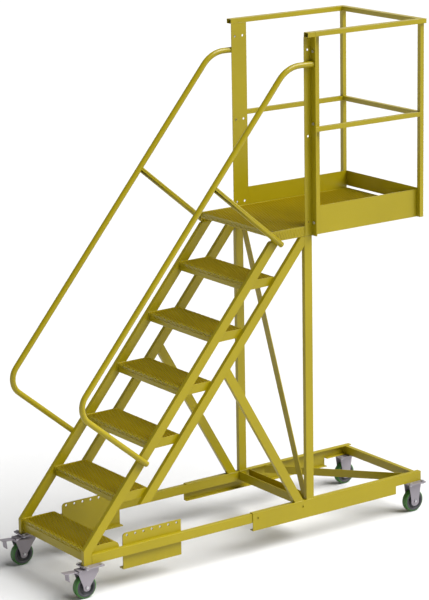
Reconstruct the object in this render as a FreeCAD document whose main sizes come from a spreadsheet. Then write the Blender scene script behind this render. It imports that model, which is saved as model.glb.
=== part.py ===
"""Mobile ladder stand, a parametric document in millimetres.

+Z is up, the climber faces +Y and X runs across the treads. Every driving size is a cell of the
sheet Sizes; every object is bound to those cells. "_r" is the +X side, "_l" the -X side.
"""
import FreeCAD
import Part
import Sketcher
import math
import os
from types import SimpleNamespace

DOC = FreeCAD.newDocument("ladder_stand")

# name, value, what it is
SIZES = [
    ("climb_deg", 50.0, "slope of the stringers from the floor, degrees"),
    ("rise", 254.0, "height from tread to tread"),
    ("first_over", 86.0, "top of the lowest tread above the caster pads"),
    ("tread_width", 610.0, "clear width between the stringers"),
    ("tread_front", -192.0, "front edge of the lowest tread"),
    ("tread_depth", 227.0, "tread, front edge to back edge"),
    ("tread_roll", 35.0, "outside radius of the rolled back edge"),
    ("tread_flange", 50.0, "front flange of a tread"),
    ("first_flange", 70.0, "front flange of the lowest tread"),
    ("tread_lip", 45.0, "drop of the rolled back edge"),
    ("sheet", 3.0, "thickness of folded sheet and of the angle posts"),
    ("tube_across", 25.4, "frame tube, width along X"),
    ("tube_deep", 50.8, "frame tube, depth in the side plane"),
    ("tube_wall", 2.0, "wall of every tube"),
    ("front_set", 27.0, "front stringer centre behind the tread's front edge"),
    ("rear_set", 232.0, "rear stringer centre behind the tread's front edge"),
    ("foot_set", 10.0, "front of the stringer foot ahead of the tread's front edge"),
    ("rear_start", 178.0, "bottom of the rear stringer above the lowest tread"),
    ("nose_over", 51.0, "platform nose ahead of the seventh tread line"),
    ("nose_flange", 30.0, "front flange of the platform"),
    ("platform_long", 1040.0, "platform, nose to the outside of the back toe board"),
    ("platform_deep", 57.0, "depth of the platform side members"),
    ("frame_lap", 2.6, "bottom flange of the side members inside the stringers"),
    ("rib_deep", 36.0, "depth of the ribs under the deck"),
    ("deck_slot", 13.0, "slot under the back toe board"),
    ("toe_high", 100.0, "toe board above the deck"),
    ("guard_high", 1052.0, "top of the guard above the deck"),
    ("mid_high", 511.0, "underside of the middle rail above the deck"),
    ("top_wide", 38.1, "top rail, width"),
    ("top_tall", 25.4, "top rail, height"),
    ("mid_square", 25.4, "middle rail and back posts, side of the square tube"),
    ("rail_split", 0.5, "gap between the rail stub and the top rail, each side of the joint"),
    ("flange_low", 16.0, "lowest bolt of the post flanges above the deck"),
    ("flange_mid", 557.0, "middle bolt of the post flanges above the deck"),
    ("flange_top", 947.0, "highest bolt of the post flanges above the deck"),
    ("rail_over", 7.1, "top rail behind the back toe board"),
    ("upright_set", 226.0, "upright behind the platform nose"),
    ("post_set", 6.0, "front edge of the hand rail post behind the front of the upright"),
    ("post_front", 50.0, "web of the hand rail post"),
    ("post_back", 52.0, "web of the guard post"),
    ("web_hole", 6.5, "radius of the holes in the post webs"),
    ("web_hole_low", 22.0, "lowest web hole above the deck"),
    ("web_hole_mid", 490.0, "middle web hole above the deck"),
    ("web_hole_top", 956.0, "highest web hole above the deck"),
    ("web_hole_edge", 26.0, "web hole from the face between the two posts"),
    ("hand_radius", 15.9, "outside radius of the hand rail tube"),
    ("hand_up", 843.5, "hand rail centre above the front stringer centre, vertical"),
    ("hand_nose", 43.0, "lower corner of the hand rail ahead of the lowest tread"),
    ("hand_top", 880.0, "level end of the hand rail above the deck"),
    ("low_bend", 100.0, "lower bend radius of the hand rail"),
    ("high_bend", 175.0, "upper bend radius of the hand rail"),
    ("leg_past", 20.0, "hand rail leg past the stringer centre"),
    ("strut_at", 889.0, "strut behind the lower corner of the hand rail"),
    ("strut_past", 34.0, "strut past the stringer centre"),
    ("brace_lean", 29.8, "side brace from the vertical, degrees"),
    ("brace_gap", 21.0, "side brace foot ahead of the upright"),
    ("bar_wide", 48.0, "cross bar, level width"),
    ("bar_thick", 6.0, "cross bar, thickness"),
    ("bar_set", 21.0, "cross bar behind the front of the upright"),
    ("channel_high", 102.0, "base channel, height"),
    ("channel_wall", 4.0, "base channel, wall"),
    ("channel_fore", 372.0, "base channel ahead of the upright"),
    ("channel_aft", 7.0, "base channel behind the platform"),
    ("channel_step", 183.0, "stepped end of the base channel, length"),
    ("channel_hole", 7.0, "radius of the holes in the base channel"),
    ("hole_fore", 32.0, "front base hole from the end of the channel"),
    ("hole_pitch", 310.0, "distance between the base holes"),
    ("hole_drop", 33.0, "base holes below the top of the channel"),
    ("rail_gap", 0.2, "lower rail under the top flange of the channel"),
    ("cross_fore", 2.0, "cross channel ahead of the upright"),
    ("cross_wide", 73.0, "cross channel, width"),
    ("beam_fore", 43.0, "back beam ahead of the end of the channel"),
    ("beam_wide", 25.4, "back beam, width"),
    ("diagonal_fore", 178.0, "left end of the base diagonal behind the upright front"),
    ("diagonal_aft", 108.0, "right end of the base diagonal ahead of the channel end"),
    ("diagonal_tall", 45.0, "base diagonal, height"),
    ("diagonal_wide", 38.0, "base diagonal, foot width"),
    ("weight_fore", 251.0, "counterweight plate behind the lowest tread's front edge"),
    ("weight_long", 373.0, "counterweight plate, length"),
    ("weight_tall", 201.0, "counterweight plate, height"),
    ("weight_drop", 84.0, "counterweight plate below the caster pads"),
    ("weight_thick", 6.0, "counterweight plate, thickness"),
    ("weight_foot", 38.0, "counterweight plate, width of the foot"),
    ("weight_round", 20.0, "counterweight plate, corner radius"),
    ("weight_hole", 7.0, "radius of the holes in the counterweight plate"),
    ("weight_hole_in", 27.0, "first hole from the front of the plate"),
    ("weight_hole_down", 14.0, "holes below the top of the plate"),
    ("weight_pitch", 53.0, "distance between the holes"),
    ("wheel_radius", 63.5, "caster wheel, outside radius"),
    ("wheel_wide", 38.0, "tyre, width"),
    ("tyre_thick", 16.5, "tyre, thickness"),
    ("hub_wide", 41.0, "wheel core at the hub"),
    ("axle_radius", 6.0, "caster axle, radius"),
    ("running_fit", 0.05, "radial clearance of a turning pin"),
    ("caster_over", 51.0, "caster pads above the top of the wheel"),
    ("plate_across", 102.0, "caster plate along X"),
    ("plate_along", 114.0, "caster plate along Y"),
    ("plate_thick", 4.0, "caster plate and frame pad, thickness each"),
    ("bolt_in", 13.0, "caster bolts in from the plate edges"),
    ("bolt_radius", 5.0, "radius of the bolt holes"),
    ("bolt_head", 15.0, "bolt head across its flats"),
    ("bolt_tall", 6.0, "bolt head, height"),
    ("race_radius", 34.0, "swivel race, radius"),
    ("race_tall", 7.0, "swivel race, height"),
    ("swivel_gap", 0.4, "gap between race and fork"),
    ("king_radius", 8.0, "king pin, radius"),
    ("swivel_set", 37.0, "swivel axis behind the lowest tread's front edge"),
    ("swivel_lead", 41.0, "front axle ahead of the swivel axis"),
    ("rear_axle_set", 48.0, "back axle ahead of the end of the channel"),
    ("fork_gap", 1.5, "gap between hub and fork leg"),
    ("fork_thick", 4.0, "fork, thickness"),
    ("fork_round", 21.0, "front fork leg around the axle"),
    ("rear_leg", 28.0, "back fork leg around the axle"),
    ("pedal_reach", 129.0, "brake pedal tip ahead of the axle"),
    ("pedal_wide", 40.0, "brake pedal, width"),
    ("pedal_thick", 4.0, "brake pedal, thickness"),
    ("pedal_pin", 4.0, "brake pedal pin, radius"),
    ("pin_fore", 32.0, "brake pedal pin ahead of the axle"),
    ("pin_down", 18.0, "brake pedal pin below the top of the fork"),
]


class Dim:
    """A size as an expression for the document, with its present value for the first guess."""

    def __init__(self, text, value):
        self.text = text
        self.value = value

    def __add__(self, other):
        other = dim(other)
        return Dim("(%s + %s)" % (self.text, other.text), self.value + other.value)

    def __sub__(self, other):
        other = dim(other)
        return Dim("(%s - %s)" % (self.text, other.text), self.value - other.value)

    def __mul__(self, other):
        other = dim(other)
        return Dim("(%s * %s)" % (self.text, other.text), self.value * other.value)

    def __truediv__(self, other):
        other = dim(other)
        return Dim("(%s / %s)" % (self.text, other.text), self.value / other.value)

    def __neg__(self):
        return Dim("(0 - %s)" % self.text, -self.value)

    def __radd__(self, other):
        return dim(other) + self

    def __rsub__(self, other):
        return dim(other) - self

    def __rmul__(self, other):
        return dim(other) * self


def dim(value):
    if isinstance(value, Dim):
        return value
    return Dim("%.6g" % value if value >= 0 else "(0 - %.6g)" % -value, float(value))


def tan(angle):
    return Dim("tan(%s)" % angle.text, math.tan(math.radians(angle.value)))


def cos(angle):
    return Dim("cos(%s)" % angle.text, math.cos(math.radians(angle.value)))


def sin(angle):
    return Dim("sin(%s)" % angle.text, math.sin(math.radians(angle.value)))


def root(area):
    return Dim("sqrt(%s)" % area.text, math.sqrt(area.value))


def fill_sheet():
    sheet = DOC.addObject("Spreadsheet::Sheet", "Sizes")
    for row, (name, value, note) in enumerate(SIZES, start=1):
        sheet.set("A%d" % row, note)
        sheet.set("B%d" % row, "%g" % value)
        sheet.setAlias("B%d" % row, name)
    DOC.recompute()
    return SimpleNamespace(**{name: Dim("Sizes." + name, value) for name, value, note in SIZES})


S = fill_sheet()
NODES = []

# heights and lengths that several pieces share
SLOPE = tan(S.climb_deg)
RUN = S.rise / SLOPE
TREADS = 6
INSIDE = S.tread_width / 2
OUTSIDE = INSIDE + S.tube_across
SHEET_IN = OUTSIDE - S.sheet
PAD_TOP = 2 * S.wheel_radius + S.caster_over
FIRST_TOP = PAD_TOP + S.first_over
DECK = FIRST_TOP + TREADS * S.rise
FRAME_LOW = DECK - S.platform_deep
GUARD = DECK + S.guard_high
RAIL_LOW = GUARD - S.top_tall
NOSE = S.tread_front + TREADS * RUN - S.nose_over
BACK = NOSE + S.platform_long
UPRIGHT = NOSE + S.upright_set
JOINT = UPRIGHT + S.post_set + S.post_front
BASE_TOP = PAD_TOP + S.tube_deep + S.rail_gap + S.channel_wall
BASE_END = BACK + S.channel_aft
FOOT = S.tread_front - S.foot_set
SWIVEL_Y = S.tread_front + S.swivel_set
FRONT_AXLE_Y = SWIVEL_Y - S.swivel_lead
REAR_AXLE_Y = BASE_END - S.rear_axle_set
CASTER_X = INSIDE + S.tube_across / 2
PLATE_LOW = PAD_TOP - 2 * S.plate_thick
RACE_LOW = PLATE_LOW - S.race_tall
FORK_TOP = RACE_LOW - S.swivel_gap
FORK_IN = S.hub_wide / 2 + S.fork_gap
FORK_OUT = FORK_IN + S.fork_thick
FRONT_END = FRONT_AXLE_Y - S.pedal_reach
REAR_END = REAR_AXLE_Y + S.plate_along / 2
MIDDLE = (FRONT_END + REAR_END) / 2
FLANGE_BOLTS = (S.flange_low, S.flange_mid, S.flange_top)


def bind(item, name, value):
    item.setExpression(name, dim(value).text)


def place(item, x, y, z):
    """Put an object at a point of the design; the whole stand is centred on Y = 0."""
    bind(item, "Placement.Base.x", x)
    bind(item, "Placement.Base.y", dim(y) - MIDDLE)
    bind(item, "Placement.Base.z", z)
    return item


def box(name, xs, ys, zs):
    item = DOC.addObject("Part::Box", name)
    bind(item, "Length", dim(xs[1]) - xs[0])
    bind(item, "Width", dim(ys[1]) - ys[0])
    bind(item, "Height", dim(zs[1]) - zs[0])
    return place(item, xs[0], ys[0], zs[0])


TURNS = {
    "x": FreeCAD.Rotation(FreeCAD.Vector(0, 1, 0), 90),
    "y": FreeCAD.Rotation(FreeCAD.Vector(1, 0, 0), -90),
    "z": FreeCAD.Rotation(),
}


def rod(name, axis, centre, radius, span, hexagon=False):
    """A round bar, or a hexagon of that corner radius, along one axis over the span."""
    item = DOC.addObject("Part::Prism" if hexagon else "Part::Cylinder", name)
    item.Placement = FreeCAD.Placement(FreeCAD.Vector(), TURNS[axis])
    bind(item, "Circumradius" if hexagon else "Radius", radius)
    bind(item, "Height", dim(span[1]) - span[0])
    if axis == "x":
        return place(item, span[0], centre[0], centre[1])
    if axis == "y":
        return place(item, centre[0], span[0], centre[1])
    return place(item, centre[0], centre[1], span[0])


def side(sign, near, far):
    """The X span of a piece on one side of the stand."""
    return (near, far) if sign > 0 else (-far, -near)


def tag(sign):
    return "_r" if sign > 0 else "_l"


def group(name, items):
    item = DOC.addObject("Part::Compound", name)
    item.Links = items
    return item


def fuse(name, items):
    item = DOC.addObject("Part::MultiFuse", name)
    item.Shapes = items
    item.Refine = True
    return item


def cut(name, base, tools):
    item = DOC.addObject("Part::Cut", name)
    item.Base = base
    item.Tool = tools[0] if len(tools) == 1 else group(name + "_tools", tools)
    return item


def tube(name, xs, ys, zs, axis):
    """A rectangular tube along one axis, open at both ends."""
    spans = [xs, ys, zs]
    inner = []
    for number, span in enumerate(spans):
        step = -1 if number == "xyz".index(axis) else S.tube_wall
        inner.append((dim(span[0]) + step, dim(span[1]) - step))
    return cut(name, box(name + "_outer", *spans), [box(name + "_bore", *inner)])


def new_sketch(body, role, name):
    plane = [item for item in body.Origin.OriginFeatures if item.Role == role][0]
    sketch = body.newObject("Sketcher::SketchObject", name)
    sketch.AttachmentSupport = (plane, [""])
    sketch.MapMode = "FlatFace"
    return sketch


def fix_point(sketch, element, end, point):
    for kind, value in (("DistanceX", point[0]), ("DistanceY", point[1])):
        number = sketch.addConstraint(Sketcher.Constraint(kind, -1, 1, element, end, dim(value).value))
        bind(sketch, "Constraints[%d]" % number, value)


def vector(point):
    return FreeCAD.Vector(dim(point[0]).value, dim(point[1]).value, 0)


def corner(before, at, after, radius):
    """Tangent points and centre of a rounded corner, for the first guess."""
    one = (before - at).normalize()
    two = (after - at).normalize()
    half = one.getAngle(two) / 2
    centre = at + (one + two).normalize() * (radius / math.sin(half))
    return at + one * (radius / math.tan(half)), at + two * (radius / math.tan(half)), centre


def trace(sketch, points, closed=True):
    """Draw straight lines through the points; a point with a third value is a rounded corner."""
    count = len(points)
    flat = [vector(point) for point in points]
    ends = {}
    for index, point in enumerate(points):
        if len(point) == 3:
            ends[index] = corner(flat[index - 1], flat[index], flat[(index + 1) % count],
                                 dim(point[2]).value)
    lines = []
    for index in range(count if closed else count - 1):
        after = (index + 1) % count
        start = ends[index][1] if index in ends else flat[index]
        stop = ends[after][0] if after in ends else flat[after]
        lines.append(sketch.addGeometry(Part.LineSegment(start, stop), False))
    for index, point in enumerate(points):
        line_in = lines[index - 1] if closed or index else None
        line_out = lines[index] if index < len(lines) else None
        if index in ends:
            round_corner(sketch, line_in, line_out, point, ends[index])
        elif line_out is None:
            fix_point(sketch, line_in, 2, point)
        else:
            fix_point(sketch, line_out, 1, point)
            if line_in is not None:
                sketch.addConstraint(Sketcher.Constraint("Coincident", line_in, 2, line_out, 1))


def round_corner(sketch, line_in, line_out, point, guess):
    start, stop, centre = guess
    angles = [math.atan2(end.y - centre.y, end.x - centre.x) for end in (start, stop)]
    turn = (angles[1] - angles[0]) % (2 * math.pi)
    forward = turn < math.pi
    low, high = angles if forward else reversed(angles)
    circle = Part.Circle(centre, FreeCAD.Vector(0, 0, 1), dim(point[2]).value)
    arc = sketch.addGeometry(Part.ArcOfCircle(circle, low, high), False)
    mark = sketch.addGeometry(Part.Point(vector(point)), True)
    fix_point(sketch, mark, 1, point)
    sketch.addConstraint(Sketcher.Constraint("PointOnObject", mark, 1, line_in))
    sketch.addConstraint(Sketcher.Constraint("PointOnObject", mark, 1, line_out))
    sketch.addConstraint(Sketcher.Constraint("Tangent", line_in, 2, arc, 1 if forward else 2))
    sketch.addConstraint(Sketcher.Constraint("Tangent", arc, 2 if forward else 1, line_out, 1))
    number = sketch.addConstraint(Sketcher.Constraint("Radius", arc, dim(point[2]).value))
    bind(sketch, "Constraints[%d]" % number, point[2])


def add_circle(sketch, centre, radius):
    circle = Part.Circle(vector(centre), FreeCAD.Vector(0, 0, 1), dim(radius).value)
    element = sketch.addGeometry(circle, False)
    fix_point(sketch, element, 3, centre)
    number = sketch.addConstraint(Sketcher.Constraint("Radius", element, dim(radius).value))
    bind(sketch, "Constraints[%d]" % number, radius)


def prism(name, plane, points, span, holes=()):
    """A padded outline: plane YZ pads along X, XY along Z and XZ along Y, over the span."""
    body = DOC.addObject("PartDesign::Body", name)
    sketch = new_sketch(body, plane + "_Plane", name + "_outline")
    trace(sketch, points)
    for centre, radius in holes:
        add_circle(sketch, centre, radius)
    pad = body.newObject("PartDesign::Pad", name + "_pad")
    pad.Profile = sketch
    bind(pad, "Length", dim(span[1]) - span[0])
    pad.Reversed = plane == "XZ"
    sketch.Visibility = False
    starts = {"YZ": (span[0], 0, 0), "XZ": (0, span[0], 0), "XY": (0, 0, span[0])}
    return place(body, *starts[plane])


def turned(name, points, centre):
    """A profile of (along X, radius) turned about the X axis through the centre."""
    body = DOC.addObject("PartDesign::Body", name)
    sketch = new_sketch(body, "XZ_Plane", name + "_profile")
    trace(sketch, points)
    turn = body.newObject("PartDesign::Revolution", name + "_turn")
    turn.Profile = sketch
    turn.ReferenceAxis = (sketch, ["H_Axis"])
    turn.Angle = 360
    sketch.Visibility = False
    return place(body, *centre)


def bent_tube(name, x, points, radius, wall):
    """A round tube swept along a path in the YZ plane; the path starts along Y."""
    body = DOC.addObject("PartDesign::Body", name)
    path = new_sketch(body, "YZ_Plane", name + "_path")
    trace(path, points, closed=False)
    ring = new_sketch(body, "XZ_Plane", name + "_ring")
    bind(ring, "AttachmentOffset.Base.z", -dim(points[0][0]))
    add_circle(ring, (0, points[0][1]), radius)
    add_circle(ring, (0, points[0][1]), radius - wall)
    DOC.recompute()
    sweep = body.newObject("PartDesign::AdditivePipe", name + "_sweep")
    sweep.Profile = ring
    sweep.Spine = (path, ["Edge%d" % (number + 1) for number in range(len(path.Shape.Edges))])
    path.Visibility = False
    ring.Visibility = False
    return place(body, x, 0, 0)


def node(item, name):
    """Name a finished piece; these are the pieces that are written out."""
    item.Label = name
    NODES.append(item)
    return item


def slope_y(offset, z):
    """Y on a line of the climb's slope that is the offset behind the tread edge at tread height."""
    return S.tread_front + offset + (z - FIRST_TOP) / SLOPE


def slope_z(offset, y):
    return FIRST_TOP + (y - S.tread_front - offset) * SLOPE


def make_stringers():
    deep = S.tube_deep / 2 / sin(S.climb_deg)
    bore = (S.tube_deep / 2 - S.tube_wall) / sin(S.climb_deg)
    foot_back = FOOT + S.tube_deep
    low = FIRST_TOP + S.rear_start
    for sign in (1, -1):
        outlines = []
        for half, inset, spare in ((deep, 0, 0), (bore, S.tube_wall, 1)):
            front = FOOT + inset
            back = foot_back - inset
            bottom = PAD_TOP - spare
            top = FRAME_LOW + spare
            outlines.append([
                (front, bottom), (back, bottom), (back, slope_z(S.front_set + half, back)),
                (slope_y(S.front_set + half, top), top), (slope_y(S.front_set - half, top), top),
                (front, slope_z(S.front_set - half, front))])
        name = "front_stringer" + tag(sign)
        outer = prism(name + "_outer", "YZ", outlines[0], side(sign, INSIDE, OUTSIDE))
        inner = prism(name + "_bore", "YZ", outlines[1],
                      side(sign, INSIDE + S.tube_wall, OUTSIDE - S.tube_wall))
        node(cut(name, outer, [inner]), name)
        outlines = []
        for half, stop, spare in ((deep, UPRIGHT, 0), (bore, UPRIGHT + 1, 1)):
            top = FRAME_LOW + spare
            outlines.append([
                (slope_y(S.rear_set - half, low - spare), low - spare),
                (slope_y(S.rear_set + half, low - spare), low - spare),
                (stop, slope_z(S.rear_set + half, stop)), (stop, top),
                (slope_y(S.rear_set - half, top), top)])
        name = "rear_stringer" + tag(sign)
        outer = prism(name + "_outer", "YZ", outlines[0], side(sign, INSIDE, OUTSIDE))
        inner = prism(name + "_bore", "YZ", outlines[1],
                      side(sign, INSIDE + S.tube_wall, OUTSIDE - S.tube_wall))
        node(cut(name, outer, [inner]), name)


def make_treads():
    for number in range(TREADS):
        name = "tread_%d" % (number + 1)
        front = S.tread_front + number * RUN
        back = front + S.tread_depth
        top = FIRST_TOP + number * S.rise
        drop = top - (S.tread_flange if number else S.first_flange)
        lip = top - S.tread_lip
        skin = S.sheet
        rolled = [(front, top - skin), (front, top), (back, top, S.tread_roll), (back, lip),
                  (back - skin, lip), (back - skin, top - skin, S.tread_roll - skin)]
        wide = (skin - INSIDE, INSIDE - skin)
        pan = prism(name + "_pan", "YZ", rolled, wide)
        flange = box(name + "_flange", wide, (front, front + skin), (drop, top - skin))
        cheek = [(front, drop), (front, top), (back, top, S.tread_roll), (back, lip)]
        cheeks = [prism(name + "_cheek" + tag(sign), "YZ", cheek, side(sign, INSIDE - skin, INSIDE))
                  for sign in (1, -1)]
        node(group(name, [pan, flange] + cheeks), name)


def make_platform():
    skin = S.sheet
    low = FRAME_LOW
    deck_low = DECK - skin
    rear_rib = BACK - 2 * skin
    sides = (NOSE + skin, BACK - skin)
    pieces = []
    for sign in (1, -1):
        end = tag(sign)
        pieces.append(fuse("frame_side" + end, [
            box("frame_web" + end, side(sign, SHEET_IN - skin, SHEET_IN), sides, (low, DECK)),
            box("frame_foot" + end, side(sign, INSIDE - S.frame_lap, SHEET_IN), sides,
                (low, low + skin))]))
    inner = (skin - SHEET_IN, SHEET_IN - skin)
    pieces.append(box("frame_nose", (-SHEET_IN, SHEET_IN), (NOSE, NOSE + skin),
                      (DECK - S.nose_flange, DECK)))
    pieces.append(box("frame_back", inner, (rear_rib, rear_rib + skin), (low + skin, DECK)))
    for number in (1, 2):
        y = NOSE + number * S.platform_long / 3
        pieces.append(box("frame_rib_%d" % number, inner, (y, y + skin),
                          (deck_low - S.rib_deep, deck_low)))
    node(group("platform_frame", pieces), "platform_frame")
    node(box("platform_deck", inner, (NOSE + skin, rear_rib), (deck_low, DECK)), "platform_deck")
    high = DECK + S.toe_high
    boards = [box("toe_board" + tag(sign), side(sign, SHEET_IN, OUTSIDE),
                  (JOINT + S.post_back, BACK - skin), (low, high)) for sign in (1, -1)]
    boards.append(box("toe_board_back", (-OUTSIDE, OUTSIDE), (BACK - skin, BACK),
                      (DECK + S.deck_slot, high)))
    node(group("toeboards", boards), "toeboards")


def make_posts():
    far = OUTSIDE + S.top_wide
    skin = S.sheet
    tall = (FRAME_LOW, RAIL_LOW)
    for sign in (1, -1):
        end = tag(sign)
        near_x, web_x, far_x = [sign * x for x in (SHEET_IN, OUTSIDE, far)]
        fronts = [(near_x, JOINT), (near_x, JOINT - S.post_front), (web_x, JOINT - S.post_front),
                  (web_x, JOINT - skin), (far_x, JOINT - skin), (far_x, JOINT)]
        backs = [(near_x, JOINT), (near_x, JOINT + S.post_back), (web_x, JOINT + S.post_back),
                 (web_x, JOINT + skin), (far_x, JOINT + skin), (far_x, JOINT)]
        stub = tube("rail_stub" + end, side(sign, OUTSIDE, far),
                    (JOINT - S.post_front, JOINT - S.rail_split), (RAIL_LOW, GUARD), "y")
        for name, outline, y, more in (
                ("handrail_post", fronts, JOINT - S.web_hole_edge, [stub]),
                ("guard_post", backs, JOINT + S.web_hole_edge, [])):
            name += end
            blank = prism(name + "_angle", "XY", outline, tall)
            drills = []
            for number, up in enumerate((S.web_hole_low, S.web_hole_mid, S.web_hole_top)):
                drills.append(rod("%s_drill_%d" % (name, number), "x", (y, DECK + up), S.web_hole,
                                  side(sign, SHEET_IN - 1, OUTSIDE + 1)))
            for number, up in enumerate(FLANGE_BOLTS):
                drills.append(rod("%s_bore_%d" % (name, number), "y",
                                  (sign * (OUTSIDE + S.top_wide / 2), DECK + up),
                                  S.bolt_radius, (JOINT - skin - 1, JOINT + skin + 1)))
            item = cut(name + "_drilled", blank, drills)
            node(group(name, [item] + more) if more else item, name)


def make_guard():
    far = OUTSIDE + S.top_wide
    end = BACK + S.rail_over
    outlines = []
    for inset, front in ((dim(0), JOINT + S.rail_split), (S.tube_wall, JOINT - 1)):
        outlines.append([
            (far - inset, front), (far - inset, end - inset), (inset - far, end - inset),
            (inset - far, front), (-OUTSIDE - inset, front),
            (-OUTSIDE - inset, end - S.top_wide + inset), (OUTSIDE + inset, end - S.top_wide + inset),
            (OUTSIDE + inset, front)])
    outer = prism("top_rail_outer", "XY", outlines[0], (RAIL_LOW, GUARD))
    inner = prism("top_rail_bore", "XY", outlines[1], (RAIL_LOW + S.tube_wall, GUARD - S.tube_wall))
    node(cut("top_rail", outer, [inner]), "top_rail")
    square = S.mid_square
    mid = (DECK + S.mid_high, DECK + S.mid_high + square)
    rails = [tube("mid_rail" + tag(sign), side(sign, OUTSIDE, OUTSIDE + square),
                  (JOINT + S.sheet, BACK - square), mid, "y") for sign in (1, -1)]
    rails.append(tube("mid_rail_back", (-OUTSIDE, OUTSIDE), (BACK - square, BACK), mid, "x"))
    node(group("mid_rails", rails), "mid_rails")
    for sign in (1, -1):
        name = "rear_guard_post" + tag(sign)
        node(tube(name, side(sign, OUTSIDE, OUTSIDE + square), (BACK - square, BACK),
                  (FRAME_LOW, RAIL_LOW), "z"), name)


def make_handrails():
    low_y = S.tread_front - S.hand_nose
    offset = S.front_set - S.hand_up / SLOPE
    low_z = slope_z(offset, low_y)
    high_z = DECK + S.hand_top
    across = (sin(S.climb_deg), cos(S.climb_deg))
    square_off = S.hand_up * cos(S.climb_deg)
    leg = square_off + S.leg_past
    strut = square_off + S.strut_past
    path = [(JOINT - S.sheet, high_z), (slope_y(offset, high_z), high_z, S.high_bend),
            (low_y, low_z, S.low_bend), (low_y + leg * across[0], low_z - leg * across[1])]
    strut_y = low_y + S.strut_at
    strut_z = low_z + S.strut_at * SLOPE
    struts = []
    for sign in (1, -1):
        name = "handrail" + tag(sign)
        x = sign * (OUTSIDE + S.hand_radius)
        node(bent_tube(name, x, path, S.hand_radius, S.tube_wall), name)
        bars = []
        for part, radius, long, lean in (
                ("outer", S.hand_radius, strut, 180 - S.climb_deg),
                ("bore", S.hand_radius - S.tube_wall, strut + 1, 180 - S.climb_deg),
                ("rail", S.hand_radius, S.top_wide, 90 - S.climb_deg)):
            bar = DOC.addObject("Part::Cylinder", "strut_%s%s" % (part, tag(sign)))
            bar.Placement.Rotation = FreeCAD.Rotation(FreeCAD.Vector(-1, 0, 0), lean.value)
            bind(bar, "Placement.Rotation.Angle", lean)
            bind(bar, "Radius", radius)
            bind(bar, "Height", long)
            start = dim(0) if part != "rail" else -S.top_wide / 2
            place(bar, x, strut_y + start * across[1], strut_z + start * across[0])
            bars.append(bar)
        struts.append(cut("handrail_strut" + tag(sign), bars[0], bars[1:]))
    node(group("handrail_struts", struts), "handrail_struts")


def make_under_frame():
    lean = tan(S.brace_lean)
    foot = UPRIGHT - S.brace_gap
    slant = S.tube_deep / cos(S.brace_lean)
    wall = S.tube_wall / cos(S.brace_lean)
    edge = S.rear_set + S.tube_deep / 2 / sin(S.climb_deg)
    for sign in (1, -1):
        end = tag(sign)
        xs = side(sign, INSIDE, OUTSIDE)
        node(tube("upright" + end, xs, (UPRIGHT, UPRIGHT + S.tube_deep), (BASE_TOP, FRAME_LOW), "z"),
             "upright" + end)
        node(tube("lower_rail" + end, xs, (FOOT + S.tube_deep, UPRIGHT + S.tube_deep),
                  (PAD_TOP, PAD_TOP + S.tube_deep), "y"), "lower_rail" + end)
        outlines = []
        for inset, spare in ((dim(0), 0), (wall, 1)):
            near = foot - slant + inset
            rear = foot - inset
            tops = []
            for y in (rear, near):
                gap = y + lean * BASE_TOP - S.tread_front - edge + FIRST_TOP / SLOPE
                z = gap * SLOPE / (1 + lean * SLOPE)
                tops.append((y - lean * (z + spare - BASE_TOP), z + spare))
            low = BASE_TOP - spare
            outlines.append([(near + lean * spare, low), (rear + lean * spare, low)] + tops)
        outer = prism("side_brace_outer" + end, "YZ", outlines[0], xs)
        inner = prism("side_brace_bore" + end, "YZ", outlines[1],
                      side(sign, INSIDE + S.tube_wall, OUTSIDE - S.tube_wall))
        node(cut("side_brace" + end, outer, [inner]), "side_brace" + end)
    floor = PAD_TOP + 2 * S.channel_wall
    fall = (2 * INSIDE - S.bar_wide) / (FRAME_LOW - BASE_TOP)
    bar = [(-INSIDE, FRAME_LOW), (S.bar_wide - INSIDE, FRAME_LOW), (INSIDE, BASE_TOP),
           (INSIDE, floor), (INSIDE - S.bar_wide + (BASE_TOP - floor) * fall, floor)]
    bar_y = UPRIGHT + S.bar_set
    node(prism("cross_brace", "XZ", bar, (bar_y, bar_y + S.bar_thick)), "cross_brace")


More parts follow.
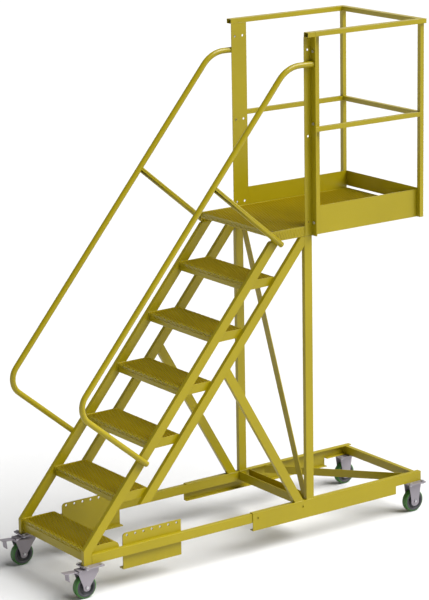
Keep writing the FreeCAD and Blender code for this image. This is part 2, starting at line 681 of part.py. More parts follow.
def make_base():
    wall = S.channel_wall
    low = BASE_TOP - S.channel_high
    fore = UPRIGHT - S.channel_fore
    step = BASE_END - S.channel_step
    for sign in (1, -1):
        end = tag(sign)
        full = side(sign, INSIDE, OUTSIDE + wall)
        web = side(sign, OUTSIDE, OUTSIDE + wall)
        lengths = []
        for part, ys, foot in (("deep", (fore, step), low), ("tail", (step, BASE_END), PAD_TOP)):
            lengths.append(fuse("channel_%s%s" % (part, end), [
                box("%s_web%s" % (part, end), web, ys, (foot, BASE_TOP)),
                box("%s_top%s" % (part, end), full, ys, (BASE_TOP - wall, BASE_TOP)),
                box("%s_low%s" % (part, end), full, ys, (foot, foot + wall))]))
        drills = [rod("channel_drill_%d%s" % (number, end), "x",
                      (fore + S.hole_fore + number * S.hole_pitch, BASE_TOP - S.hole_drop),
                      S.channel_hole, side(sign, OUTSIDE - 1, OUTSIDE + wall + 1))
                  for number in (0, 1)]
        node(group("base_channel" + end, [cut("channel_drilled" + end, lengths[0], drills),
                                          lengths[1]]), "base_channel" + end)
    wide = (-INSIDE, INSIDE)
    cross = (UPRIGHT - S.cross_fore, UPRIGHT - S.cross_fore + S.cross_wide)
    floor = PAD_TOP + wall
    trough = box("cross_blank", wide, cross, (floor, BASE_TOP))
    hollow = box("cross_hollow", (-INSIDE - 1, INSIDE + 1), (cross[0] + wall, cross[1] - wall),
                 (floor + wall, BASE_TOP + 1))
    node(cut("cross_channel", trough, [hollow]), "cross_channel")
    beam = BASE_END - S.beam_fore
    node(tube("rear_beam", (-OUTSIDE, OUTSIDE), (beam, beam + S.beam_wide),
              (floor, BASE_TOP - wall), "x"), "rear_beam")
    left = UPRIGHT + S.diagonal_fore
    right = BASE_END - S.diagonal_aft
    reach = right - left
    steep = root(reach * reach + S.tread_width * S.tread_width) / S.tread_width
    legs = []
    for name, thick, zs in (
            ("diagonal_leg", wall * steep, (BASE_TOP - S.diagonal_tall, BASE_TOP)),
            ("diagonal_foot", S.diagonal_wide * steep,
             (BASE_TOP - S.diagonal_tall, BASE_TOP - S.diagonal_tall + wall))):
        legs.append(prism(name, "XY", [(-INSIDE, left), (INSIDE, right), (INSIDE, right + thick),
                                       (-INSIDE, left + thick)], zs))
    node(fuse("base_diagonal", legs), "base_diagonal")
    front = S.tread_front + S.weight_fore
    back = front + S.weight_long
    low = PAD_TOP - S.weight_drop
    top = low + S.weight_tall
    holes = [((front + S.weight_hole_in + number * S.weight_pitch, top - S.weight_hole_down),
              S.weight_hole) for number in range(7)]
    for sign in (1, -1):
        name = "counterweight_plate" + tag(sign)
        outline = [(front, low), (front, top, S.weight_round), (back, top), (back, low)]
        plate = prism(name + "_web", "YZ", outline, side(sign, INSIDE - S.weight_thick, INSIDE),
                      holes)
        foot = box(name + "_foot", side(sign, INSIDE - S.weight_foot, INSIDE), (front, back),
                   (low, low + S.weight_thick))
        node(fuse(name, [plate, foot]), name)


def plate_holes(name, sign, y, zs):
    """Four bolt holes of a caster plate, as drills or as places for bolts."""
    places = []
    for number, (dx, dy) in enumerate(((-1, -1), (1, -1), (1, 1), (-1, 1))):
        centre = (sign * CASTER_X + dx * (S.plate_across / 2 - S.bolt_in),
                  y + dy * (S.plate_along / 2 - S.bolt_in))
        places.append(("%s_%d" % (name, number), centre))
    return [(label, centre, zs) for label, centre in places]


def make_wheel(name, sign, y):
    centre = (sign * CASTER_X, y, S.wheel_radius)
    bore = S.axle_radius + S.running_fit
    rim = S.wheel_radius - S.tyre_thick
    hub = S.hub_wide / 2
    half = S.wheel_wide / 2
    profile = [(hub, bore), (hub, bore + 10), (half - 11, bore + 16), (half - 11, rim - 9),
               (half - 3, rim - 5), (half - 2, rim)]
    mirror = [(-x, r) for x, r in reversed(profile)]
    node(turned("wheel_core_" + name, profile + mirror, centre), "wheel_core_" + name)
    profile = [(half - 2, rim), (half, rim + 3), (half, S.wheel_radius - 6),
               (half - 4, S.wheel_radius)]
    mirror = [(-x, r) for x, r in reversed(profile)]
    node(turned("tyre_" + name, profile + mirror, centre), "tyre_" + name)
    axle = [rod("axle_pin_" + name, "x", (y, S.wheel_radius), S.axle_radius,
                (sign * CASTER_X - FORK_OUT, sign * CASTER_X + FORK_OUT))]
    for part, way in (("head", 1), ("nut", -1)):
        axle.append(rod("axle_%s_%s" % (part, name), "x", (y, S.wheel_radius), S.bolt_head / math.sqrt(3),
                        (sign * CASTER_X + (FORK_OUT if way > 0 else -FORK_OUT - S.bolt_tall),
                         sign * CASTER_X + (FORK_OUT + S.bolt_tall if way > 0 else -FORK_OUT)),
                        hexagon=True))
    node(fuse("axle_" + name, axle), "axle_" + name)


def make_front_casters():
    half_x = S.plate_across / 2
    half_y = S.plate_along / 2
    for sign in (1, -1):
        end = tag(sign)
        x = sign * CASTER_X
        zs = (PLATE_LOW, PLATE_LOW + S.plate_thick)
        plate = box("front_plate_blank" + end, (x - half_x, x + half_x),
                    (SWIVEL_Y - half_y, SWIVEL_Y + half_y), zs)
        race = rod("front_race" + end, "z", (x, SWIVEL_Y), S.race_radius, (RACE_LOW, PLATE_LOW))
        drills = [rod(label, "z", centre, S.bolt_radius, (zs[0] - 1, zs[1] + 1))
                  for label, centre, zs in plate_holes("front_drill" + end, sign, SWIVEL_Y, zs)]
        drills.append(rod("king_bore" + end, "z", (x, SWIVEL_Y), S.king_radius + S.running_fit,
                          (RACE_LOW - 1, PLATE_LOW + S.plate_thick + 1)))
        name = "front_caster_plate" + end
        node(cut(name, fuse(name + "_blank", [plate, race]), drills), name)
        make_front_fork(sign)
        make_wheel("front" + end, sign, FRONT_AXLE_Y)


def make_front_fork(sign):
    end = tag(sign)
    x = sign * CASTER_X
    y = FRONT_AXLE_Y
    z = S.wheel_radius
    pin = (y - S.pin_fore, FORK_TOP - S.pin_down)
    wing = S.race_radius
    lobe = S.fork_round
    under = FORK_TOP - S.fork_thick
    leg = [(pin[0] - 14, under), (pin[0] - 14, pin[1] - 8), (y - lobe, z + 4),
           (y - lobe, z - lobe, lobe * 0.9), (y + lobe, z - lobe, lobe * 0.9), (y + lobe, z + 4),
           (SWIVEL_Y + wing, FORK_TOP - 24), (SWIVEL_Y + wing, under)]
    pin_hole = S.pedal_pin + S.running_fit
    pieces = []
    for label, span in (("in", (x - FORK_OUT, x - FORK_IN)), ("out", (x + FORK_IN, x + FORK_OUT))):
        pieces.append(prism("front_leg_%s%s" % (label, end), "YZ", leg, span,
                            [((y, z), S.axle_radius), (pin, pin_hole)]))
    crown = fuse("front_crown" + end, [
        box("front_bridge" + end, (x - FORK_OUT, x + FORK_OUT), (pin[0] - 14, SWIVEL_Y + wing),
            (under, FORK_TOP)),
        rod("front_disc" + end, "z", (x, SWIVEL_Y), wing, (under, FORK_TOP)),
        rod("king_pin" + end, "z", (x, SWIVEL_Y), S.king_radius,
            (under, PLATE_LOW + S.plate_thick - 1))])
    node(group("front_fork" + end, pieces + [crown]), "front_fork" + end)
    thick = S.pedal_thick
    tip = y - S.pedal_reach
    high = FORK_TOP + 2
    lever = [(pin[0] + 9, pin[1] - 9), (pin[0] + 9, pin[1] + 8), (pin[0] - 9, FORK_TOP - 6),
             (tip, high), (tip, high - thick), (tip + 20, high - thick - 2),
             (tip + 26, high - 50), (tip + 30, high - 50), (tip + 20 + thick, high - thick - 2.5),
             (pin[0] - 9, FORK_TOP - 6 - thick), (pin[0] - 9, pin[1] - 9)]
    wide = S.pedal_wide / 2
    blade = prism("pedal_blade" + end, "YZ", lever, (x - wide, x + wide))
    bar = rod("pedal_bar" + end, "x", pin, S.pedal_pin, (x - FORK_OUT - 1, x + FORK_OUT + 1))
    node(fuse("brake_pedal" + end, [blade, bar]), "brake_pedal" + end)


def make_rear_casters():
    half_x = S.plate_across / 2
    half_y = S.plate_along / 2
    for sign in (1, -1):
        end = tag(sign)
        x = sign * CASTER_X
        y = REAR_AXLE_Y
        z = S.wheel_radius
        lobe = S.rear_leg
        zs = (PLATE_LOW, PLATE_LOW + S.plate_thick)
        leg = [(y - half_y + 14, zs[0]), (y - lobe, z + 8), (y - lobe, z - lobe, lobe * 0.9),
               (y + lobe, z - lobe, lobe * 0.9), (y + lobe, z + 8), (y + half_y - 14, zs[0])]
        plate = box("rear_plate_blank" + end, (x - half_x, x + half_x),
                    (y - half_y, y + half_y), zs)
        drills = [rod(label, "z", centre, S.bolt_radius, (zs[0] - 1, zs[1] + 1))
                  for label, centre, zs in plate_holes("rear_drill" + end, sign, y, zs)]
        pieces = [cut("rear_plate" + end, plate, drills)]
        for label, span in (("in", (x - FORK_OUT, x - FORK_IN)),
                            ("out", (x + FORK_IN, x + FORK_OUT))):
            pieces.append(prism("rear_leg_%s%s" % (label, end), "YZ", leg, span,
                                [((y, z), S.axle_radius)]))
        node(group("rear_fork" + end, pieces), "rear_fork" + end)
        make_wheel("rear" + end, sign, y)


def make_pads_and_bolts():
    half_x = S.plate_across / 2
    half_y = S.plate_along / 2
    pads = []
    bolts = []
    shank = S.bolt_radius - S.running_fit
    head = S.bolt_head / math.sqrt(3)
    for sign in (1, -1):
        x = sign * CASTER_X
        for where, y in (("front", SWIVEL_Y), ("rear", REAR_AXLE_Y)):
            end = "_" + where + tag(sign)
            zs = (PAD_TOP - S.plate_thick, PAD_TOP)
            holes = plate_holes("pad_drill" + end, sign, y, zs)
            drills = [rod(label, "z", centre, S.bolt_radius, (zs[0] - 1, zs[1] + 1))
                      for label, centre, zs in holes]
            pads.append(cut("pad" + end, box("pad_blank" + end, (x - half_x, x + half_x),
                                             (y - half_y, y + half_y), zs), drills))
            for label, centre, zs in holes:
                bolts.append(fuse("bolt" + label, [
                    rod("head" + label, "z", centre, head, (PAD_TOP, PAD_TOP + S.bolt_tall), True),
                    rod("shank" + label, "z", centre, shank, (PLATE_LOW - 1, PAD_TOP + 1)),
                    rod("nut" + label, "z", centre, head, (PLATE_LOW - S.bolt_tall, PLATE_LOW),
                        True)]))
        for number, up in enumerate(FLANGE_BOLTS):
            label = "_flange_%d%s" % (number, tag(sign))
            centre = (sign * (OUTSIDE + S.top_wide / 2), DECK + up)
            ys = (JOINT - S.sheet, JOINT + S.sheet)
            bolts.append(fuse("bolt" + label, [
                rod("head" + label, "y", centre, head, (ys[0] - S.bolt_tall, ys[0]), True),
                rod("shank" + label, "y", centre, shank, (ys[0] - 1, ys[1] + 1)),
                rod("nut" + label, "y", centre, head, (ys[1], ys[1] + S.bolt_tall), True)]))
    node(group("caster_pads", pads), "caster_pads")
    node(group("frame_bolts", bolts), "frame_bolts")


make_stringers()
make_treads()
make_platform()
make_posts()
make_guard()
make_handrails()
make_under_frame()
make_base()
make_front_casters()
make_rear_casters()
make_pads_and_bolts()

DOC.recompute()

for item in DOC.Objects:
    if "Invalid" in item.State or "Error" in item.State:
        raise RuntimeError("%s does not build: %s" % (item.Name, item.State))

os.makedirs("parts", exist_ok=True)
for item in NODES:
    if item.Shape.isNull() or not item.Shape.isValid() or not item.Shape.Solids:
        raise RuntimeError("%s has no valid solid" % item.Label)
    item.Shape.exportStep("parts/%s.step" % item.Label)
print("%d nodes written" % len(NODES))
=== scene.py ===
import bpy
import bmesh
import math
from mathutils import Matrix, Vector


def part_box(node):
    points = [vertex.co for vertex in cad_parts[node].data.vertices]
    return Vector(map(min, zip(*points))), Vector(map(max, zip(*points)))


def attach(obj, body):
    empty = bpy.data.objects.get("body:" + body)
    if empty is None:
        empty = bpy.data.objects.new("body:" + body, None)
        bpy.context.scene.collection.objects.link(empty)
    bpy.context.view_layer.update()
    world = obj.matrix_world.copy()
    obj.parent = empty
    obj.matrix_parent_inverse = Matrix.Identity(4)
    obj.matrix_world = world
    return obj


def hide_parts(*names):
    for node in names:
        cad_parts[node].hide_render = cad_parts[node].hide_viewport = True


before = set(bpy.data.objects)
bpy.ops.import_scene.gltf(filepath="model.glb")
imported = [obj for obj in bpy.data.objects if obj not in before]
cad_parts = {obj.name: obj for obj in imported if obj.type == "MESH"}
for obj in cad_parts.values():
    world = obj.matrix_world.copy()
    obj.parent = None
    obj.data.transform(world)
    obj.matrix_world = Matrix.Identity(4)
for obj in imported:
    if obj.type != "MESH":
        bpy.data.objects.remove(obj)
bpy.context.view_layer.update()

# ---- Welded side frames -------------------------------------------------------------------------
# Stringers, uprights, braces and rails: steel tube, cut and welded into two side frames that the
# cross members join. All of it is powder coated in one colour after welding, so the coat is the
# same everywhere: a thick gloss film with a faint orange peel.


def coat_material(name, colour, rough, peel, peel_depth, patch, sheen=0.5, metal=0.0):
    """A sprayed or plated skin: colour that drifts softly, a fine skin texture, uneven gloss."""
    mat = bpy.data.materials.new(name)
    mat.use_nodes = True
    tree = mat.node_tree
    shader = tree.nodes["Principled BSDF"]
    place = tree.nodes.new("ShaderNodeTexCoord")
    drift = tree.nodes.new("ShaderNodeTexNoise")
    drift.inputs["Scale"].default_value = 2.3
    drift.inputs["Detail"].default_value = 4.0
    tree.links.new(place.outputs["Object"], drift.inputs["Vector"])
    ramp = tree.nodes.new("ShaderNodeValToRGB")
    ramp.color_ramp.elements[0].position = 0.32
    ramp.color_ramp.elements[1].position = 0.70
    ramp.color_ramp.elements[0].color = [c * (1.0 - patch) for c in colour] + [1.0]
    ramp.color_ramp.elements[1].color = [min(c * (1.0 + patch), 1.0) for c in colour] + [1.0]
    tree.links.new(drift.outputs["Fac"], ramp.inputs["Fac"])
    tree.links.new(ramp.outputs["Color"], shader.inputs["Base Color"])
    skin = tree.nodes.new("ShaderNodeTexNoise")
    skin.inputs["Scale"].default_value = peel
    skin.inputs["Detail"].default_value = 2.0
    tree.links.new(place.outputs["Object"], skin.inputs["Vector"])
    bump = tree.nodes.new("ShaderNodeBump")
    bump.inputs["Strength"].default_value = 0.25
    bump.inputs["Distance"].default_value = peel_depth
    tree.links.new(skin.outputs["Fac"], bump.inputs["Height"])
    tree.links.new(bump.outputs["Normal"], shader.inputs["Normal"])
    gloss = tree.nodes.new("ShaderNodeMapRange")
    gloss.inputs["To Min"].default_value = rough - 0.06
    gloss.inputs["To Max"].default_value = rough + 0.08
    tree.links.new(drift.outputs["Fac"], gloss.inputs["Value"])
    tree.links.new(gloss.outputs["Result"], shader.inputs["Roughness"])
    shader.inputs["Specular IOR Level"].default_value = sheen
    shader.inputs["Metallic"].default_value = metal
    return mat


powder_coat = coat_material("powder_coat", colour=(0.318, 0.252, 0.003), rough=0.30,
                            peel=520.0, peel_depth=0.00012, patch=0.06, sheen=0.36)


def only(*objects):
    """Select these objects alone; the last one is active."""
    bpy.ops.object.select_all(action="DESELECT")
    for item in objects:
        item.select_set(True)
    bpy.context.view_layer.objects.active = objects[-1]


def apply_modifiers(item):
    only(item)
    for modifier in list(item.modifiers):
        bpy.ops.object.modifier_apply(modifier=modifier.name)


def soft_edges(name, new_name, width, segments=2, angle=35, mat=powder_coat,
               part_y=None):
    """A copy of a CAD node with its edges rounded, as bent sheet, drawn tube and castings have.

    part_y is where two bars of the node only touch: what lies behind it is moved back by a hair,
    so that merging doubles leaves the bars apart. A width of 0 leaves the edges as they are."""
    same_point = 0.00002
    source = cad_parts[name]
    item = bpy.data.objects.new(new_name, source.data.copy())
    for face in item.data.polygons:
        if part_y is not None and face.center.y > part_y:
            for corner in face.vertices:
                item.data.vertices[corner].co.y += same_point
    bpy.context.scene.collection.objects.link(item)
    only(item)
    item.data.materials.clear()
    item.data.materials.append(mat)
    bpy.ops.object.mode_set(mode="EDIT")
    bpy.ops.mesh.select_all(action="SELECT")
    bpy.ops.mesh.remove_doubles(threshold=same_point)
    if width:
        bpy.ops.mesh.dissolve_limited(angle_limit=math.radians(1.0))
    bpy.ops.object.mode_set(mode="OBJECT")
    if width:
        bevel = item.modifiers.new("round", "BEVEL")
        bevel.width = width
        bevel.segments = segments
        bevel.limit_method = "ANGLE"
        bevel.angle_limit = math.radians(angle)
        apply_modifiers(item)
    bpy.ops.object.shade_smooth_by_angle(angle=math.radians(40))
    if width:
        even = item.modifiers.new("even", "WEIGHTED_NORMAL")
        even.keep_sharp = True
        apply_modifiers(item)
    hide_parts(name)
    return item


for name in ("front_stringer", "rear_stringer", "upright", "side_brace", "lower_rail"):
    for side in "_r", "_l":
        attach(soft_edges(name + side, "tube_" + name + side, 0.0009), "stand")
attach(soft_edges("cross_brace", "flat_cross_brace", 0.001), "stand")

# ---- Welds --------------------------------------------------------------------------------------
# Fillet welds join the tubes, plates and treads: a rounded, slightly uneven bead a few millimetres
# across, painted over with the frame. One bead is modelled, then laid wherever two faces meet.
bead_radius = 0.0019
bead_ripples = 13
hollow_width, crest_width, tip_width = 0.78, 1.0, 0.45
bpy.ops.object.select_all(action="DESELECT")
bpy.ops.mesh.primitive_cylinder_add(vertices=10, radius=bead_radius, depth=1.0, location=(0, 0, 0))
bead = bpy.context.active_object
bead.name = "bead"
bpy.ops.object.mode_set(mode="EDIT")
bead_mesh = bmesh.from_edit_mesh(bead.data)
for edge in bead_mesh.edges:
    edge.select = abs(edge.verts[0].co.z - edge.verts[1].co.z) > 0.5
bmesh.update_edit_mesh(bead.data)
bpy.ops.mesh.subdivide(number_cuts=bead_ripples)
bead_mesh = bmesh.from_edit_mesh(bead.data)
rows = sorted({round(vert.co.z, 5) for vert in bead_mesh.verts})
for number, row in enumerate(rows):
    for vert in bead_mesh.verts:
        vert.select = abs(vert.co.z - row) < 0.001
    bead_mesh.select_flush_mode()
    bmesh.update_edit_mesh(bead.data)
    across = crest_width if number % 2 else hollow_width
    if number in (0, len(rows) - 1):
        across = tip_width
    bpy.ops.transform.resize(value=(across, across, 1), center_override=(0, 0, row))
bpy.ops.object.mode_set(mode="OBJECT")
bpy.ops.object.shade_smooth_by_angle(angle=math.radians(70))
bead.data.materials.append(powder_coat)
beads = []


def lay_bead(start, end):
    """A copy of the bead from one point to the other."""
    start, end = Vector(start), Vector(end)
    copy = bpy.data.objects.new("bead_laid", bead.data.copy())
    bpy.context.scene.collection.objects.link(copy)
    turn = (end - start).to_track_quat("Z", "Y").to_matrix().to_4x4()
    stretch = Matrix.Diagonal((1, 1, (end - start).length, 1))
    copy.data.transform(Matrix.Translation((start + end) / 2) @ turn @ stretch)
    beads.append(copy)


def join(name, items):
    only(*items)
    bpy.ops.object.join()
    item = bpy.context.active_object
    item.name = name
    only(item)
    bpy.ops.object.transform_apply(location=True, rotation=True, scale=True)
    return item


climb = math.atan2(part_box("tread_2")[1][2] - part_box("tread_1")[1][2],
                   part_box("tread_2")[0][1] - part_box("tread_1")[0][1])
tube_deep = 0.0508
stringer_set = 0.027
stringer_half = tube_deep / 2 / math.sin(climb)
brace_foot = tube_deep / math.cos(math.radians(29.8))
stitch_start, stitch_pitch, stitch_long = 0.025, 0.095, 0.042
for sign, side in ((1, "_r"), (-1, "_l")):
    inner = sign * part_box("upright_r")[0][0]
    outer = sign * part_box("upright_r")[1][0]
    post_low, post_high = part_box("upright" + side)
    for z in (post_low[2], post_high[2]):
        lay_bead((outer, post_low[1], z), (outer, post_high[1], z))
        lay_bead((inner, post_low[1], z), (inner, post_high[1], z))
    for y in (post_low[1], post_high[1]):
        lay_bead((inner, y, post_low[2]), (outer, y, post_low[2]))
    rail_low, rail_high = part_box("lower_rail" + side)
    lay_bead((outer, rail_low[1], rail_low[2]), (outer, rail_low[1], rail_high[2]))
    lay_bead((inner, rail_low[1], rail_low[2]), (inner, rail_low[1], rail_high[2]))
    brace_low, brace_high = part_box("side_brace" + side)
    for x in (inner, outer):
        lay_bead((x, brace_high[1] - brace_foot, brace_low[2]), (x, brace_high[1], brace_low[2]))
    plate_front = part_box("counterweight_plate" + side)[0][1]
    for number in range(4):
        y = plate_front + stitch_start + number * stitch_pitch
        lay_bead((inner, y, rail_low[2]), (inner, y + stitch_long, rail_low[2]))
    for number in range(1, 7):
        step_low, step_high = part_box("tread_%d" % number)
        near = step_low[1] + stringer_set - stringer_half
        lay_bead((inner, max(near, step_low[1]), step_high[2]),
                 (inner, near + 2 * stringer_half, step_high[2]))
        lay_bead((inner, step_low[1] + 0.002, step_low[2] + 0.004),
                 (inner, step_low[1] + 0.002, step_high[2] - 0.004))
bpy.data.objects.remove(bead)
weld_beads = join("weld_beads", beads)
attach(weld_beads, "stand")

# ---- Base frame ---------------------------------------------------------------------------------
# Two deep steel channels carry the back casters, with a trough, a diagonal angle and a back beam
# welded across them. The drilled side plates near the front take ballast. Same coat as the frame.
for name in ("base_channel_r", "base_channel_l", "cross_channel", "rear_beam", "base_diagonal",
             "counterweight_plate_r", "counterweight_plate_l"):
    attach(soft_edges(name, "base_" + name, 0.0007), "stand")

# ---- Treads -------------------------------------------------------------------------------------
# Each tread is expanded steel, its diamonds long way across, wrapped down at the front and rolled
# down at the back. It is welded to a folded front angle and to end plates between the stringers.
tread_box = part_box("tread_2")
tread_front = tread_box[0][1]
tread_back = tread_box[1][1]
tread_top = tread_box[1][2]
tread_half = tread_box[1][0]
tread_roll = 0.035
# The same coat, but lighter, to make up for the shade that the strands throw on one another.
mesh_coat = coat_material("powder_coat_on_mesh", colour=(0.500, 0.396, 0.006), rough=0.34,
                          peel=700.0, peel_depth=0.00010, patch=0.10, sheen=0.36)
diamond_long = 0.0440
diamond_short = 0.0180
strand = 0.0046
strand_deep = 0.0086
nose_radius = 0.009
nose_drop = 0.023
sheet = 0.003
sheet_middle = 0.0016
mesh_margin = 0.004
back_drop = 0.045


def diamond_sheet(name, x_half, y_low, y_high, z, strand_width, notch=None):
    """Flat expanded metal between the limits; a notch (x, y) cuts its two front corners away."""
    wide = 2 * x_half / diamond_long
    deep = (y_high - y_low) / diamond_short
    count = int(wide + deep) + 4
    middle = (y_low + y_high) / 2
    bpy.ops.object.select_all(action="DESELECT")
    bpy.ops.mesh.primitive_grid_add(x_subdivisions=count, y_subdivisions=count,
                                    size=count / math.sqrt(2), location=(0, 0, 0))
    item = bpy.context.active_object
    item.name = name
    item.data.materials.append(mesh_coat)
    bpy.ops.object.mode_set(mode="EDIT")
    bpy.ops.mesh.select_all(action="SELECT")
    bpy.ops.transform.rotate(value=math.pi / 4, orient_axis="Z", center_override=(0, 0, 0))
    bpy.ops.transform.resize(value=(diamond_long, diamond_short, 1), center_override=(0, 0, 0))
    bpy.ops.transform.translate(value=(0, middle, z))
    for point, normal in (((x_half, 0, 0), (1, 0, 0)), ((-x_half, 0, 0), (-1, 0, 0)),
                          ((0, y_high, 0), (0, 1, 0)), ((0, y_low, 0), (0, -1, 0))):
        bpy.ops.mesh.select_all(action="SELECT")
        bpy.ops.mesh.bisect(plane_co=point, plane_no=normal, clear_outer=True)
    bpy.ops.mesh.select_all(action="SELECT")
    bpy.ops.mesh.remove_doubles(threshold=0.0002)
    if notch:
        for point, normal in (((notch[0], 0, 0), (1, 0, 0)), ((-notch[0], 0, 0), (1, 0, 0)),
                              ((0, notch[1], 0), (0, 1, 0))):
            bpy.ops.mesh.select_all(action="SELECT")
            bpy.ops.mesh.bisect(plane_co=point, plane_no=normal)
        mesh = bmesh.from_edit_mesh(item.data)
        for face in mesh.faces:
            spot = face.calc_center_median()
            face.select = abs(spot.x) > notch[0] and spot.y < notch[1]
        bmesh.update_edit_mesh(item.data)
        bpy.ops.mesh.select_mode(type="FACE")
        bpy.ops.mesh.delete(type="FACE")
        bpy.ops.mesh.select_mode(type="VERT")
    bpy.ops.object.mode_set(mode="OBJECT")
    wire = item.modifiers.new("strands", "WIREFRAME")
    wire.thickness = strand_width
    wire.use_even_offset = False
    wire.use_boundary = True
    apply_modifiers(item)
    only(item)
    bpy.ops.object.mode_set(mode="EDIT")
    bpy.ops.mesh.select_all(action="SELECT")
    bpy.ops.transform.resize(value=(1, 1, strand_deep / strand_width), center_override=(0, 0, z))
    bpy.ops.object.mode_set(mode="OBJECT")
    return item


def folded_sheet(name, profile, x_low, x_high, thickness):
    """Sheet bent along X: a straight edge is extruded from corner to corner, then given a wall."""
    bpy.ops.object.select_all(action="DESELECT")
    bpy.ops.mesh.primitive_plane_add(size=1, location=(0, 0, 0))
    item = bpy.context.active_object
    item.name = name
    bpy.ops.object.mode_set(mode="EDIT")
    mesh = bmesh.from_edit_mesh(item.data)
    bmesh.ops.delete(mesh, geom=[v for v in mesh.verts if v.co.y > 0], context="VERTS")
    for vert in mesh.verts:
        vert.co = (x_low if vert.co.x < 0 else x_high, profile[0][0], profile[0][1])
    bmesh.update_edit_mesh(item.data)
    bpy.ops.mesh.select_all(action="SELECT")
    for before, after in zip(profile, profile[1:]):
        step = (0, after[0] - before[0], after[1] - before[1])
        bpy.ops.mesh.extrude_edges_move(TRANSFORM_OT_translate={"value": step})
    bpy.ops.mesh.select_all(action="SELECT")
    bpy.ops.mesh.normals_make_consistent(inside=False)
    bpy.ops.object.mode_set(mode="OBJECT")
    wall = item.modifiers.new("wall", "SOLIDIFY")
    wall.thickness = thickness
    wall.offset = 0
    wall.use_even_offset = True
    crease = item.modifiers.new("crease", "BEVEL")
    crease.width = min(thickness * 0.3, 0.0012)
    crease.segments = 2
    crease.angle_limit = math.radians(40)
    apply_modifiers(item)
    bpy.ops.object.shade_smooth_by_angle(angle=math.radians(40))
    return item


def end_plate(name, x, outline, thickness):
    """A flat plate across X with the given outline of (y, z) corners."""
    bpy.ops.object.select_all(action="DESELECT")
    bpy.ops.mesh.primitive_circle_add(vertices=len(outline), radius=1, fill_type="NGON")
    item = bpy.context.active_object
    item.name = name
    for vert, corner in zip(item.data.vertices, outline):
        vert.co = (x, corner[0], corner[1])
    wall = item.modifiers.new("wall", "SOLIDIFY")
    wall.thickness = thickness
    wall.offset = 0
    crease = item.modifiers.new("crease", "BEVEL")
    crease.width = 0.0006
    crease.segments = 2
    apply_modifiers(item)
    only(item)
    bpy.ops.object.mode_set(mode="EDIT")
    bpy.ops.mesh.select_all(action="SELECT")
    bpy.ops.mesh.normals_make_consistent(inside=False)
    bpy.ops.object.mode_set(mode="OBJECT")
    return item


def roll_edge(item, edge, way, top, outer_radius, axis=1):
    """Wrap what lies past a line of flat mesh down round a radius, then straight down."""
    bend = outer_radius - strand_deep / 2
    for vert in item.data.vertices:
        past = (vert.co[axis] - edge) * way
        if past > 0:
            radius = bend + vert.co.z - (top - strand_deep / 2)
            turn = min(past / bend, math.pi / 2)
            down = max(past - bend * math.pi / 2, 0)
            vert.co[axis] = edge + way * radius * math.sin(turn)
            vert.co.z = top - outer_radius + radius * math.cos(turn) - down


flat_end = tread_back - tread_roll
flat_start = tread_front + nose_radius
nose_long = (nose_radius - strand_deep / 2) * math.pi / 2 + nose_drop - nose_radius
roll_long = (tread_roll - strand_deep / 2) * math.pi / 2
mesh_tread = diamond_sheet("tread_mesh", tread_half - mesh_margin, flat_start - nose_long,
                           flat_end + roll_long + mesh_margin, tread_top - strand_deep / 2,
                           strand)
roll_edge(mesh_tread, flat_end, 1, tread_top, tread_roll)
roll_edge(mesh_tread, flat_start, -1, tread_top, nose_radius)
arc = [(flat_end + tread_roll * math.sin(a), tread_top - tread_roll + tread_roll * math.cos(a))
       for a in [math.radians(9 * k) for k in range(11)]]
outline = [(tread_front, tread_box[0][2]), (tread_front, tread_top)] + arc
outline.append((tread_back, tread_top - back_drop))
cheeks = [end_plate("cheek", x * (tread_half - sheet / 2), outline, sheet) for x in (1, -1)]
lip = folded_sheet("lip", [(tread_back - sheet_middle, tread_top - tread_roll),
                           (tread_back - sheet_middle, tread_top - back_drop + sheet / 2)],
                   sheet - tread_half, tread_half - sheet, sheet)
for item in [lip] + cheeks:
    item.data.materials.append(powder_coat)
tread_parts = join("tread_body", [mesh_tread, lip] + cheeks)

nose_set = 0.004
nose_shelf, nose_shelf_drop = 0.024, 0.007
nose_foot = 0.018
for number in range(1, 7):
    low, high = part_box("tread_%d" % number)
    body = bpy.data.objects.new("step_mesh_%d" % number, tread_parts.data.copy())
    bpy.context.scene.collection.objects.link(body)
    only(body)
    bpy.ops.object.mode_set(mode="EDIT")
    bpy.ops.mesh.select_all(action="SELECT")
    bpy.ops.transform.translate(value=(0, low[1] - tread_front, high[2] - tread_top))
    bpy.ops.object.mode_set(mode="OBJECT")
    shelf = high[2] - nose_shelf_drop
    foot = low[2] + sheet_middle
    front = low[1] + nose_set
    angle = folded_sheet("step_nose_%d" % number, [
        (low[1] + nose_shelf, shelf), (front, shelf), (front, foot), (low[1] + nose_foot, foot)],
        sheet - tread_half, tread_half - sheet, sheet)
    angle.data.materials.append(powder_coat)
    step = join("step_%d" % number, [angle, body])
    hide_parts("tread_%d" % number)
    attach(step, "stand")
bpy.data.objects.remove(tread_parts)

# ---- Platform -----------------------------------------------------------------------------------
# The deck is the same expanded steel in one sheet, folded down at the nose and both sides and
# welded on a frame with ribs under it. Flat toe boards stand round it, the back one over a slot.
deck_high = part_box("platform_deck")[1]
frame_low, frame_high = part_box("platform_frame")
deck_lift = 0.001
deck_proud = 0.002
deck_wide = 0.0012
side_drop = 0.029
deck_top = deck_high[2] + deck_lift
deck_start = frame_low[1] + nose_radius - deck_proud
deck_side = frame_high[0] + deck_wide - nose_radius
side_long = nose_long + side_drop
deck = diamond_sheet("deck_mesh", deck_side + side_long, deck_start - nose_long, deck_high[1],
                     deck_top - strand_deep / 2, strand, notch=(deck_side + sheet, deck_start))
roll_edge(deck, deck_start, -1, deck_top, nose_radius)
for way in (1, -1):
    roll_edge(deck, way * deck_side, way, deck_top, nose_radius, axis=0)
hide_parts("platform_deck")
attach(deck, "stand")
for name in ("platform_frame", "toeboards"):
    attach(soft_edges(name, "deck_" + name, 0.0007), "stand")

